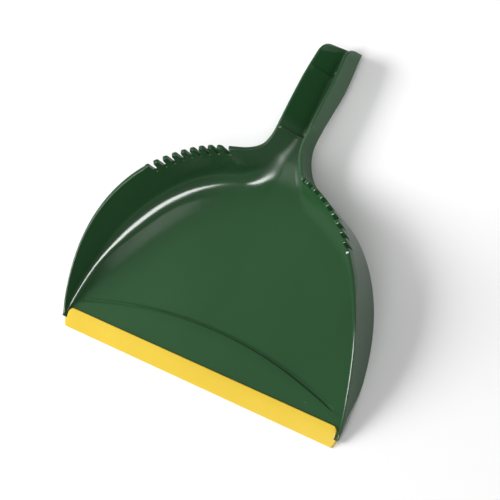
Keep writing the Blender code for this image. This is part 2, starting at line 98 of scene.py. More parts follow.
# ---- comb teeth on the shoulders -------------------------------------------
NOTCHES = 9
NOTCH_PITCH = 9.45
NOTCH_W = 4.8              # width of a notch at its mouth
NOTCH_FLOOR_W = 3.0        # and at its rounded bottom
TOOTH_ROUND = 1.4          # rounding of the teeth's top corners
COMB_RAISE = 0.8           # the comb stands this much above the plain rim
NOTCH_DEPTH = 10.5
NOTCH_FIRST_X = 105.8      # rim x of the left comb's front notch
RIGHT_SHIFT = -1           # the right comb and rim drop sit this many pitches along

# ---- ramp behind the lip ---------------------------------------------------
RAMP_SIDE_Y = 21.0
RAMP_MID_Y = 45.4
RAMP_H = 2.0
RAMP_STEP = 4.5

# ---- cross ribs in the handle's channel ------------------------------------
RIB_Y = (224.2, 282.4)
RIB_T = 1.5
RIB_H = 1.7

# ---- rubber lip ------------------------------------------------------------
LIP_HALF_W = 150.2         # between the side walls
LIP_FRONT_HALF_W = 149.7   # at the front edge
LIP_FLARE_HALF_W = 152.2   # just in front of the walls' ends
LIP_FRONT_Y = -1.1
LIP_BACK_Y = 15.7
LIP_CORNER_R = 5.0
LIP_TOP_Z = 5.2            # top of the lip at its back edge
LIP_FRONT_Z = 0.9          # and at its front edge
LIP_ROUND = 0.7            # rounding of its top edges
LIP_COLS = 6               # columns across half of the lip
GAP = 0.3
TONGUE_Y = 7.5             # front edge of the pan's tongue inside the lip
TONGUE_Z = (1.3, 2.5)      # its underside and top
SOLE_BACK_Y = 13.0         # back edge of the lip's lower flap

# points along each stretch of a cross-section
ROWS = dict(floor=5, fillet=4, wall=1, rim=1, outer=1, under=3, sole=2)


def lerp(a, b, t):
    return a + (b - a) * t


def smooth(t):
    t = min(max(t, 0.0), 1.0)
    return t * t * (3.0 - 2.0 * t)


def table(rows, v):
    """Smooth curve through (position, value) rows, without overshoot."""
    if v <= rows[0][0]:
        return rows[0][1]
    if v >= rows[-1][0]:
        return rows[-1][1]
    k = next(i for i in range(1, len(rows)) if v <= rows[i][0])
    slope = [(rows[i + 1][1] - rows[i][1]) / (rows[i + 1][0] - rows[i][0])
             for i in range(len(rows) - 1)]

    def tangent_at(i):
        if i == 0 or i == len(rows) - 1:
            return 0.0
        a, b = slope[i - 1], slope[i]
        return 0.0 if a * b <= 0.0 else 2.0 * a * b / (a + b)
    (a, fa), (b, fb) = rows[k - 1], rows[k]
    h = b - a
    t = (v - a) / h
    return (fa * (1 + 2 * t) * (1 - t) ** 2 + fb * t * t * (3 - 2 * t)
            + h * tangent_at(k - 1) * t * (1 - t) ** 2 - h * tangent_at(k) * t * t * (1 - t))


# ---- outline ---------------------------------------------------------------
def body_x(y):
    if y <= BODY_Y_WIDE:
        t = (BODY_Y_WIDE - y) / (BODY_Y_WIDE - FRONT_Y)
        return BODY_HALF_W - FRONT_TUCK * t ** 1.6
    t = min((y - BODY_Y_WIDE) / BODY_DEPTH, 1.0)
    return BODY_HALF_W * (1.0 - t ** BODY_EXP) ** (1.0 / BODY_EXP)


def grip_x(y):
    t = smooth((y - GRIP_TAPER_Y) / (GRIP_END_Y + 8.0 - GRIP_TAPER_Y))
    return lerp(GRIP_HALF_W, GRIP_END_HALF_W, t)


def make_outline():
    """Points along the right rim: body, neck sweep, handle."""
    body = []
    y = FRONT_Y
    while y < BODY_Y_WIDE + BODY_DEPTH - 0.4:
        body.append((body_x(y), y))
        y += 0.25 if y < 150 else 0.05
    cx = GRIP_HALF_W + NECK_R
    # the sweep's centre is where the body outline is NECK_R away
    lo, hi = 185.0, 245.0
    for _ in range(60):
        cy = 0.5 * (lo + hi)
        near = min(math.hypot(px - cx, py - cy) for px, py in body)
        if near > NECK_R:
            hi = cy
        else:
            lo = cy
    k = min(range(len(body)), key=lambda i: math.hypot(body[i][0] - cx, body[i][1] - cy))
    pts = body[:k + 1]
    a0 = math.atan2(body[k][1] - cy, body[k][0] - cx) % (2 * math.pi)
    n = 90
    for i in range(1, n + 1):
        a = lerp(a0, math.pi, i / n)
        pts.append((cx + NECK_R * math.cos(a), cy + NECK_R * math.sin(a)))
    y = cy + 0.4
    while y < GRIP_END_Y + 8.0:
        pts.append((grip_x(y), y))
        y += 0.4
    return pts


OUT = make_outline()
CUM = [0.0]
for (ax, ay), (bx, by) in zip(OUT, OUT[1:]):
    CUM.append(CUM[-1] + math.hypot(bx - ax, by - ay))


def at(s):
    """Rim point at arc length s."""
    s = min(max(s, 0.0), CUM[-1])
    lo, hi = 0, len(CUM) - 1
    while hi - lo > 1:
        m = (lo + hi) // 2
        if CUM[m] <= s:
            lo = m
        else:
            hi = m
    t = (s - CUM[lo]) / max(CUM[hi] - CUM[lo], 1e-9)
    return (lerp(OUT[lo][0], OUT[hi][0], t), lerp(OUT[lo][1], OUT[hi][1], t))


def inward(s):
    """Unit vector into the pan, square to the rim, from a chord 6 mm long."""
    a, b = at(max(s - 3.0, 0.0)), at(s + 3.0)
    dx, dy = b[0] - a[0], b[1] - a[1]
    d = math.hypot(dx, dy)
    nx, ny = -dy / d, dx / d
    y = at(s)[1]
    if y < BODY_Y_WIDE:
        return -1.0, 0.0
    w = smooth((y - 232.0) / 20.0)
    nx, ny = lerp(nx, -1.0, w), lerp(ny, 0.0, w)
    d = math.hypot(nx, ny)
    return nx / d, ny / d


def arc_at_y(y):
    return next(c for c, p in zip(CUM, OUT) if p[1] >= y)


def arc_at_x(x):
    return next(c for c, p in zip(CUM, OUT) if p[0] <= x and p[1] > BODY_Y_WIDE)


S_DROP = arc_at_x(DROP_START_X)
S_NOTCH = arc_at_x(NOTCH_FIRST_X)
S_GRIP = arc_at_y(228.0)


def rim_z(s, side):
    """Height of the rim without its teeth: side is 1 on the right, -1 on the left."""
    y = at(s)[1]
    u = min(max((y - FRONT_Y) / (RIM_FULL_Y - FRONT_Y), -0.2), 1.0)
    z = RIM_BACK_Z - (RIM_BACK_Z - RIM_FRONT_Z) * (1.0 - u) ** RIM_POWER
    z = max(z, RIM_LEAST_Z) + RIM_CROWN * smooth((y - 163.0) / 30.0)
    start = S_DROP + (RIGHT_SHIFT * NOTCH_PITCH if side > 0 else 0.0)
    if s > start:
        t = min((s - start) / DROP_LEN, 1.0)
        z = lerp(GRIP_RIM_Z, z, 0.5 * (1.0 + math.cos(math.pi * t)))
    z -= GRIP_RIM_DROP * smooth((y - 235.0) / 75.0)
    return z


def comb_start(side):
    """Arc length of a comb's front notch."""
    return S_NOTCH + (RIGHT_SHIFT * NOTCH_PITCH if side > 0 else 0.0)


def comb_raise(s, side):
    """Extra height of the comb over the plain rim."""
    a = comb_start(side) - 0.75 * NOTCH_PITCH
    b = comb_start(side) + (NOTCHES - 0.25) * NOTCH_PITCH
    return COMB_RAISE * smooth((s - a) / 2.0) * (1.0 - smooth((s - b) / 6.0))


def top_z(s, side):
    """Height of the rim with its teeth and the rounded end of the handle."""
    z = rim_z(s, side) + comb_raise(s, side)
    first = comb_start(side)
    k = round((s - first) / NOTCH_PITCH)
    if 0 <= k < NOTCHES:
        u = abs(s - first - k * NOTCH_PITCH)
        a, b = 0.5 * NOTCH_FLOOR_W, 0.5 * NOTCH_W
        if u < a:
            z -= NOTCH_DEPTH - 0.5 * a * (u / a) ** 2
        elif u < b:
            z -= lerp(NOTCH_DEPTH - 0.5 * a, TOOTH_ROUND, (u - a) / (b - a))
        elif u < b + TOOTH_ROUND:
            z -= TOOTH_ROUND - math.sqrt(TOOTH_ROUND ** 2 - (b + TOOTH_ROUND - u) ** 2)
    t = (at(s)[1] - GRIP_END_Y + GRIP_CORNER_R) / GRIP_CORNER_R
    if t > 0.0:
        z -= GRIP_CORNER_R * (1.0 - math.sqrt(max(1.0 - min(t, 1.0) ** 2, 0.0)))
    return z


def floor_z(x, y):
    """Top of the floor: ramp behind the lip, flat floor, rise into the neck."""
    z = FLOOR_Z
    fade = 1.0 - min(abs(x) / 151.0, 1.0) ** 5
    ya = RAMP_MID_Y - (RAMP_MID_Y - RAMP_SIDE_Y) * (x / 149.0) ** 2
    y1 = LIP_BACK_Y + GAP
    if y <= ya:
        z += RAMP_H * fade * min(max((y - y1) / max(ya - y1, 0.5), 0.0), 1.0)
    elif y < ya + RAMP_STEP:
        z += RAMP_H * fade * (1.0 - smooth((y - ya) / RAMP_STEP))
    z += (NECK_Z - FLOOR_Z) * smooth((y + NECK_CURVE * x * x - NECK_RISE_Y) / NECK_RISE_LEN)
    z -= (NECK_Z - GRIP_FLOOR_Z) * smooth((y - RIB_Y[0]) / 1.5)
    return z


def skirt_z(s):
    """Bottom edge of the outer walls."""
    y = at(s)[1]
    z = table(SKIRT_FRONT, y) if y < 60.0 else 0.0
    z += GRIP_SKIRT_Z * smooth((s - S_DROP - 12.0) / (S_GRIP - S_DROP - 12.0))
    z += NECK_SKIRT_Z * smooth((s - S_DROP - 3.0) / 24.0) * (1.0 - smooth((y - 222.0) / 62.0))
    return z


def on_rib(y):
    return any(abs(y - r) < 0.5 * RIB_T for r in RIB_Y)


def arc_pts(cx, cz, r, a0, a1, n):
    return [(cx + r * math.cos(lerp(a0, a1, i / n)), cz + r * math.sin(lerp(a0, a1, i / n)))
            for i in range(n + 1)]


def tangent(qd, qz, cd, cz, r):
    """Angle of the point where a line from (qd, qz) touches the fillet circle."""
    length = math.hypot(qd - cd, qz - cz)
    return math.atan2(qz - cz, qd - cd) + math.acos(min(r / length, 1.0))


def section(s, q, side):
    """One half of a cross-section: chains of (inward distance, height)."""
    x, y = at(s)
    zr, zt = rim_z(s, side), top_z(s, side)
    nx, ny = inward(s)
    g = smooth((s - S_DROP - 6.0) / (S_GRIP - S_DROP - 6.0))
    out_tan = math.tan(math.radians(lerp(BODY_DRAFT, GRIP_DRAFT_OUT, g)))
    a_in = math.radians(lerp(BODY_DRAFT, GRIP_DRAFT_IN, g))
    in_tan = math.tan(a_in)
    wt = table(WALL, y)
    ro = min(RIM_ROUND_OUT, 0.25 * (zr - FLOOR_Z))
    ri = min(RIM_ROUND_IN, ro)
    r = min(table(FILLET, y), 0.55 * (rim_z(s, -1) - ro - FLOOR_Z))
    zf = floor_z(x, y)
    for _ in range(5):
        dc = wt + (zr - zf - r) * in_tan + r / math.cos(a_in)
        zf = floor_z(max(x + nx * dc, 0.0), y + ny * dc)
    zc = zf + r
    zq = zt - ri
    dq = wt + (zr - zq) * out_tan
    at_q = tangent(dq, zq, dc, zc, r)
    td, tz = dc + r * math.cos(at_q), zc + r * math.sin(at_q)
    # a row at constant depth below the rim keeps the teeth out of the wall
    comb = smooth((y - 108.0) / 20.0) * (1.0 - smooth((s - S_DROP - 13.0) / 12.0))
    zbase = lerp(zt - 1.6, zr - NOTCH_DEPTH - 1.8, comb)
    zbase = max(min(zbase, zt - ro - 0.3), tz + 0.1)
    t = (zq - zbase) / (zq - tz)
    bd, bz = lerp(dq, td, t), zbase
    e = RIB_H if on_rib(y) else 0.0
    ic, iz = dc, zc
    if e:
        bd += e
        ic, iz = dc + e, zc + e
        at_i = tangent(bd, bz, ic, iz, r)
    else:
        at_i = at_q
    fillet = arc_pts(ic, iz, r, 1.5 * math.pi, at_i, q['fillet'])
    ti = fillet[-1]
    wall = [(lerp(ti[0], bd, i / q['wall']), lerp(ti[1], bz, i / q['wall']))
            for i in range(1, q['wall'] + 1)]
    # underside: offset fillet, then offset wall, as far as the skirt
    chain = arc_pts(dc, zc, r + FLOOR_T, 1.5 * math.pi, at_q, 48)
    ux, uz = dq - td, zq - tz
    ul = math.hypot(ux, uz)
    ex, ez = chain[-1]
    chain += [(ex + ux / ul * h, ez + uz / ul * h) for h in [0.3 * j for j in range(1, 160)]]

    def skirt_d(z):
        return SKIRT_T + (zr - z) * out_tan
    keep = [chain[0]]
    for a, b in zip(chain, chain[1:]):
        fa, fb = a[0] - skirt_d(a[1]), b[0] - skirt_d(b[1])
        if fb <= 0.0:
            keep.append((lerp(a[0], b[0], fa / (fa - fb)), lerp(a[1], b[1], fa / (fa - fb))))
            break
        keep.append(b)
    cum = [0.0]
    for a, b in zip(keep, keep[1:]):
        cum.append(cum[-1] + math.hypot(b[0] - a[0], b[1] - a[1]))
    under = []
    for i in range(q['under'] + 1):
        want, j = cum[-1] * i / q['under'], 1
        while j < len(cum) - 1 and cum[j] < want:
            j += 1
        t = (want - cum[j - 1]) / max(cum[j] - cum[j - 1], 1e-9)
        under.append((lerp(keep[j - 1][0], keep[j][0], t), lerp(keep[j - 1][1], keep[j][1], t)))
    join = under[-1]
    zb = skirt_z(s)
    zi = min(zb, join[1] - 0.2)
    skirt = [(skirt_d(zi), zi), ((zr - zb) * out_tan, zb)]
    outer = [((zr - z) * out_tan, z) for z in
             [lerp(zb, zbase, i / q['outer']) for i in range(1, q['outer'] + 1)]]
    # rim: outer quarter round, flat, inner quarter round
    zo = zt - ro
    dl = (zr - zo) * out_tan
    n = q['rim']
    rim = [(dl, zo)]
    rim += [(dl + ro * (1 - math.cos(a)), zo + ro * math.sin(a))
            for a in [math.pi / 2 * i / n for i in range(1, n + 1)]]
    rim += [(dq - ri * (1 - math.sin(a)), zq + ri * math.cos(a))
            for a in [math.pi / 2 * i / n for i in range(0, n)]]
    rim += [(dq, zq)]
    return dict(fillet=fillet, wall=wall, rim=rim[::-1], outer=outer[::-1],
                skirt=skirt[::-1], under=under[::-1])


def bow(y):
    """How far the floor's rows bend back at the middle, to follow the ramp."""
    y1 = LIP_BACK_Y + GAP
    amp = RAMP_MID_Y - RAMP_SIDE_Y
    if y <= y1:
        return 0.0
    if y <= RAMP_SIDE_Y:
        return amp * (y - y1) / (RAMP_SIDE_Y - y1)
    return amp * (1.0 - smooth((y - RAMP_SIDE_Y) / 60.0))


def half_loop(s, q, side):
    """Points of one half from the middle of the floor's top, out over the rim,
    and back under to the middle of the underside, in millimetres."""
    x, y = at(s)
    nx, ny = inward(s)
    c = section(s, q, side)
    lean = GRIP_END_LEAN * smooth((y - 282.0) / 24.0)

    def put(d, z):
        return (side * (x + nx * d), y + ny * d - lean * (z - GRIP_FLOOR_Z), z)
    e = RIB_H if on_rib(y) else 0.0
    f0 = put(*c['fillet'][0])
    loop = []
    for i in range(q['floor']):
        px = f0[0] * i / q['floor']
        py = f0[1] + bow(f0[1]) * (1.0 - (px / f0[0]) ** 2)
        loop.append((px, py, floor_z(px, py) + e))
    for part in ('fillet', 'wall', 'rim', 'outer', 'skirt', 'under'):
        loop += [put(d, z) for d, z in c[part]]
    u0 = loop[-1]
    for i in range(q['sole'] - 1, -1, -1):
        px = u0[0] * i / q['sole']
        py = u0[1] + bow(u0[1]) * (1.0 - (px / u0[0]) ** 2)
        loop.append((px, py, floor_z(px, py) - FLOOR_T))
    return loop


def stations():
    """Arc lengths of the cross-sections."""
    ys = [FRONT_Y, 10.5, LIP_BACK_Y + GAP, 18.6, RAMP_SIDE_Y, 21.9, 23.4, 27.0, 32.0, 38.0,
          46.0, 55.0, 65.0, 76.0, 87.0, 98.0, 109.0, 119.0, 129.0]
    ss = [arc_at_y(y) if y > FRONT_Y else 0.0 for y in ys]
    ss += [S_NOTCH - 1.75 * NOTCH_PITCH]
    for k in range(RIGHT_SHIFT, NOTCHES):
        m = S_NOTCH + k * NOTCH_PITCH
        for h in (0.5 * NOTCH_FLOOR_W, 0.5 * NOTCH_W, 0.5 * NOTCH_W + TOOTH_ROUND):
            ss += [m - h, m + h]
    last = ss[-1]
    ss += [lerp(last, S_GRIP, i / 11) for i in range(1, 11)]
    ys = []
    for r in RIB_Y:
        h = 0.5 * RIB_T
        ys += [r - h - 0.1, r - h + 0.1, r + h - 0.1, r + h + 0.1]
    ys += [238.0, 252.0, 266.0, 276.0, 290.0]
    ys += [GRIP_END_Y - GRIP_CORNER_R * (1.0 - t) for t in (0.0, 0.4, 0.65, 0.85, 0.97, 1.0)]
    ss += [arc_at_y(y) for y in ys]
    ss = sorted(ss)
    return [a for a, b in zip(ss, ss[1:] + [1e9]) if b - a > 0.15]


def loft(loops):
    """Closed mesh from pairs of half loops, skinned and capped at both ends."""
    bm = bmesh.new()
    rings = []
    for right, left in loops:
        rings.append([bm.verts.new(Vector(p) * MM) for p in right + left[-2:0:-1]])
    n = len(rings[0])
    for a, b in zip(rings, rings[1:]):
        for j in range(n):
            k = (j + 1) % n
            bm.faces.new((a[j], a[k], b[k], b[j]))
    bm.faces.new(rings[0][::-1])
    bm.faces.new(rings[-1])
    return bm


def lip_top_z(y):
    """Crowned top of the lip, thin at its front edge and rounded at its back."""
    t = (LIP_BACK_Y - y) / (LIP_BACK_Y - LIP_FRONT_Y)
    z = LIP_FRONT_Z + (LIP_TOP_Z - LIP_FRONT_Z) * (1.0 - min(max(t, 0.0), 1.0) ** 1.8)
    a = y - (LIP_BACK_Y - LIP_ROUND)
    if a > 0.0:
        z -= LIP_ROUND - math.sqrt(max(LIP_ROUND ** 2 - a ** 2, 0.0))
    b = LIP_FRONT_Y + 0.4 - y
    if b > 0.0:
        z -= 0.4 - math.sqrt(max(0.16 - b ** 2, 0.0))
    return z


def lip_half_w(y):
    """Half width of the lip: a rounded front corner, a slanted flare in front of
    the walls' ends, a straight side between the walls and a rounded back corner."""
    step = FRONT_Y - GAP
    if y < step:
        w = lerp(LIP_FRONT_HALF_W + 0.7, LIP_FLARE_HALF_W, max(y - 0.4, 0.0) / (step - 0.4))
        b = LIP_FRONT_Y + 1.5 - y
        return w - (1.5 - math.sqrt(max(2.25 - b ** 2, 0.0)) if b > 0.0 else 0.0)
    a = y - (LIP_BACK_Y - LIP_CORNER_R)
    if a > 0.0:
        return LIP_HALF_W - LIP_CORNER_R + math.sqrt(max(LIP_CORNER_R ** 2 - a ** 2, 0.01))
    return LIP_HALF_W


def lip_ring(y, cols, n):
    """Closed cross-section of the lip at y, across its whole width."""
    w, zt = lip_half_w(y), lip_top_z(y)
    e = min(LIP_ROUND, 0.6 * zt)
    side = [(w, 0.0), (w, zt - e)]
    side += [(w - e * (1.0 - math.cos(a)), zt - e * (1.0 - math.sin(a)))
             for a in [math.pi / 2 * i / n for i in range(1, n + 1)]]
    top = [((w - e) * (1.0 - i / cols), zt) for i in range(1, 2 * cols)]
    under = [(-w + w * i / cols, 0.0) for i in range(1, 2 * cols)]
    ring = side + top + [(-px, pz) for px, pz in reversed(side)] + under
    return [(px, y, pz) for px, pz in ring]


def lip_body(rows, cols, n):
    bm = bmesh.new()
    rings = [[bm.verts.new(Vector(p) * MM) for p in lip_ring(y, cols, n)] for y in rows]
    k = len(rings[0])
    for a, b in zip(rings, rings[1:]):
        for i in range(k):
            j = (i + 1) % k
            bm.faces.new((a[i], a[j], b[j], b[i]))
    bm.faces.new(rings[0][::-1])
    bm.faces.new(rings[-1])
    return bm


def rounded_slab(hx, y0, y1, z0, z1, r, n=4):
    """Slab over x +-hx and y0..y1 with its two back corners rounded."""
    pts = [(hx, y0)]
    for i in range(n + 1):
        a = math.pi / 2 * i / n
        pts.append((hx - r + r * math.cos(a), y1 - r + r * math.sin(a)))
    pts += [(-px, py) for px, py in reversed(pts)]
    bm = bmesh.new()
    lo = [bm.verts.new(Vector((px, py, z0)) * MM) for px, py in pts]
    hi = [bm.verts.new(Vector((px, py, z1)) * MM) for px, py in pts]
    k = len(pts)
    for i in range(k):
        j = (i + 1) % k
        bm.faces.new((lo[i], lo[j], hi[j], hi[i]))
    bm.faces.new(lo[::-1])
    bm.faces.new(hi)
    return bm


# ---- fine meshes -----------------------------------------------------------
FINE = dict(floor=26, fillet=18, wall=5, rim=4, outer=10, under=8, sole=8)


def fine_stations():
    """Arc lengths of the cross-sections, close together where the shape turns."""
    end = arc_at_y(GRIP_END_Y - GRIP_CORNER_R)
    marks = [0.0]
    for y in (8.0, 10.5, 13.0, LIP_BACK_Y + GAP, 17.4, 19.2, RAMP_SIDE_Y, 22.2, 23.5, 25.2):
        marks.append(arc_at_y(y))
    first = S_NOTCH + RIGHT_SHIFT * NOTCH_PITCH
    s = marks[-1] + 2.2
    while s < first - 0.75 * NOTCH_PITCH - 1.0:
        marks.append(s)
        s += 2.2
    s = first - 0.75 * NOTCH_PITCH
    marks += [s + 0.5 * i for i in range(5)]
    for k in range(RIGHT_SHIFT, NOTCHES):
        m = S_NOTCH + k * NOTCH_PITCH
        a, b = 0.5 * NOTCH_FLOOR_W, 0.5 * NOTCH_W
        for h in (0.5 * a, 0.8 * a, a, 0.5 * (a + b), b, b + 0.12 * TOOTH_ROUND,
                  b + 0.35 * TOOTH_ROUND, b + 0.65 * TOOTH_ROUND, b + TOOTH_ROUND,
                  b + TOOTH_ROUND + 0.4):
            marks += [m - h, m + h]
        marks.append(m)
    s = S_NOTCH + (NOTCHES - 1) * NOTCH_PITCH + 0.5 * NOTCH_W + TOOTH_ROUND + 1.3
    stop = arc_at_y(RIB_Y[0]) - 2.0
    n = int((stop - s) / 1.3)
    marks += [lerp(s, stop, i / n) for i in range(n + 1)]
    for r in RIB_Y:
        h = 0.5 * RIB_T
        marks += [arc_at_y(y) for y in (r - h - 0.05, r - h + 0.05, r, r + h - 0.05, r + h + 0.05)]
    s = arc_at_y(RIB_Y[0] + 2.0)
    while s < end:
        if all(abs(at(s)[1] - r) > 0.5 * RIB_T + 0.8 for r in RIB_Y):
            marks.append(s)
        s += 2.4
    for t in (0.0, 0.2, 0.4, 0.55, 0.68, 0.79, 0.88, 0.94, 0.98, 1.0):
        marks.append(arc_at_y(GRIP_END_Y - GRIP_CORNER_R * (1.0 - t)))
    marks = sorted(marks)
    return [a for a, b in zip(marks, marks[1:] + [1e9]) if b - a > 0.06]


def temp(bm, name):
    """Helper object used only while the mesh is made."""
    bmesh.ops.recalc_face_normals(bm, faces=bm.faces)
    me = bpy.data.meshes.new(name)
    bm.to_mesh(me)
    bm.free()
    ob = bpy.data.objects.new(name, me)
    bpy.context.scene.collection.objects.link(ob)
    return ob


def carve(bm, name, cuts, joins=()):
    """The mesh with the cutters taken away and the extras joined on, as one piece."""
    ob = temp(bm, name)
    extra = []
    for kind, bodies in (('DIFFERENCE', cuts), ('UNION', joins)):
        for b in bodies:
            c = temp(b, name + '_tool')
            m = ob.modifiers.new('b', 'BOOLEAN')
            m.operation, m.solver, m.object = kind, 'EXACT', c
            extra.append(c)
    dg = bpy.context.evaluated_depsgraph_get()
    me = bpy.data.meshes.new_from_object(ob.evaluated_get(dg), depsgraph=dg)
    me.name = name
    old = ob.data
    ob.modifiers.clear()
    ob.data = me
    bpy.data.meshes.remove(old)
    for c in extra:
        old = c.data
        bpy.data.objects.remove(c, do_unlink=True)
        bpy.data.meshes.remove(old)
    return ob


def shade(ob, mat, angle):
    me = ob.data
    me.materials.clear()
    me.materials.append(mat)
    for p in me.polygons:
        p.material_index = 0
    me.shade_smooth()
    me.set_sharp_from_angle(angle=math.radians(angle))


def dome(x, y, z, r, h, n=16, m=4):
    """Low round dome standing on z, closed underneath a little below it."""
    bm = bmesh.new()
    rings = [[bm.verts.new(Vector((x + r * math.cos(2 * math.pi * i / n),
                                   y + r * math.sin(2 * math.pi * i / n), z - 0.4)) * MM)
              for i in range(n)]]
    for j in range(m):
        a = math.pi / 2 * j / m
        rings.append([bm.verts.new(Vector((x + r * math.cos(a) * math.cos(2 * math.pi * i / n),
                                           y + r * math.cos(a) * math.sin(2 * math.pi * i / n),
                                           z + h * math.sin(a))) * MM) for i in range(n)])
    tip = bm.verts.new(Vector((x, y, z + h)) * MM)
    for a, b in zip(rings, rings[1:]):
        for i in range(n):
            k = (i + 1) % n
            bm.faces.new((a[i], a[k], b[k], b[i]))
    for i in range(n):
        bm.faces.new((rings[-1][i], rings[-1][(i + 1) % n], tip))
    bm.faces.new(rings[0][::-1])
    return bm


def groove():
    """Moulded-in line along the foot of the ramp, wider towards its two ends."""
    bm = bmesh.new()
    rings = []
    for i in range(161):
        x = lerp(-141.0, 138.0, i / 160)
        k = (RAMP_MID_Y - RAMP_SIDE_Y) / 149.0 ** 2
        y = RAMP_MID_Y - k * x * x + 2.3
        nx, ny = 2.0 * k * x, 1.0
        g = math.hypot(nx, ny)
        w = 2.2 + 1.4 * smooth((-x - 60.0) / 60.0) + 1.2 * smooth((x - 60.0) / 60.0)
        d = 0.9 * smooth((x + 142.0) / 10.0) * smooth((139.0 - x) / 10.0) + 0.03
        sec = [(-0.56 * w, 1.6), (0.56 * w, 1.6)]
        sec += [(0.5 * w * math.cos(math.pi * j / 18), -d * math.sin(math.pi * j / 18))
                for j in range(19)]
        rings.append([bm.verts.new(Vector((x + q * nx / g, y + q * ny / g, FLOOR_Z + 0.12 + h)) * MM)
                      for q, h in sec])
    for a, b in zip(rings, rings[1:]):
        for j in range(len(a)):
            n = (j + 1) % len(a)
            bm.faces.new((a[j], a[n], b[n], b[j]))
    bm.faces.new(rings[0][::-1])
    bm.faces.new(rings[-1])
    return bm


def pan_mesh(mat):
    bm = loft([(half_loop(s, FINE, 1), half_loop(s, FINE, -1)) for s in fine_stations()])
    w, far = LIP_HALF_W + GAP, -12.0
    cuts = [rounded_slab(w, far, LIP_BACK_Y + GAP, TONGUE_Z[1], 30.0, LIP_CORNER_R + GAP, 12),
            rounded_slab(w, far, SOLE_BACK_Y + GAP, -10.0, TONGUE_Z[0], 1.0),
            rounded_slab(w, far, TONGUE_Y, -10.0, 30.0, 1.0), groove()]
    # small round gate mark on the ramp
    joins = [dome(111.0, 23.4, floor_z(111.0, 23.4), 0.75, 0.35)]
    ob = carve(bm, 'pan_body', cuts, joins)
    shade(ob, mat, 34.0)
    return ob


def lip_mesh(mat):
    step, back = FRONT_Y - GAP, LIP_BACK_Y - LIP_ROUND
    rows = [LIP_FRONT_Y + 0.4 * (1.0 - math.cos(math.pi / 2 * i / 5)) for i in range(6)]
    rows += [LIP_FRONT_Y + 0.4 + 0.28 * i for i in range(1, 4)]
    rows += [0.4 + (step - 0.1 - 0.4) * i / 7 for i in range(8)] + [step]
    r0 = LIP_BACK_Y - LIP_CORNER_R
    rows += [lerp(step, r0, i / 6) for i in range(1, 6)]
    rows += [r0 + (back - r0) * i / 12 for i in range(13)]
    rows += [back + LIP_ROUND * math.sin(math.pi / 2 * i / 6) for i in range(1, 7)]
    rows = sorted(rows)
    rows = [a for a, b in zip(rows, rows[1:] + [1e9]) if b - a > 0.02]
    far = LIP_BACK_Y + 9.0
    cuts = [rounded_slab(170.0, TONGUE_Y - GAP, far, TONGUE_Z[0] - GAP, TONGUE_Z[1] + GAP, 1.0),
            rounded_slab(170.0, SOLE_BACK_Y, far, -5.0, TONGUE_Z[0] + GAP, 1.0)]
    ob = carve(lip_body(rows, 24, 5), 'lip_body', cuts)
    shade(ob, mat, 38.0)
    return ob


# ---- materials -------------------------------------------------------------
def node(t, kind, **values):
    n = t.nodes.new(kind)
    for k, v in values.items():
        if k.startswith('in_'):
            n.inputs[k[3:]].default_value = v
        else:
            setattr(n, k, v)
    return n


def ramp(t, stops):
    n = t.nodes.new('ShaderNodeValToRGB')
    e = n.color_ramp.elements
    while len(e) < len(stops):
        e.new(0.5)
    for el, (pos, col) in zip(e, stops):
        el.position = pos
        el.color = (*col, 1.0) if len(col) == 3 else col
    return n


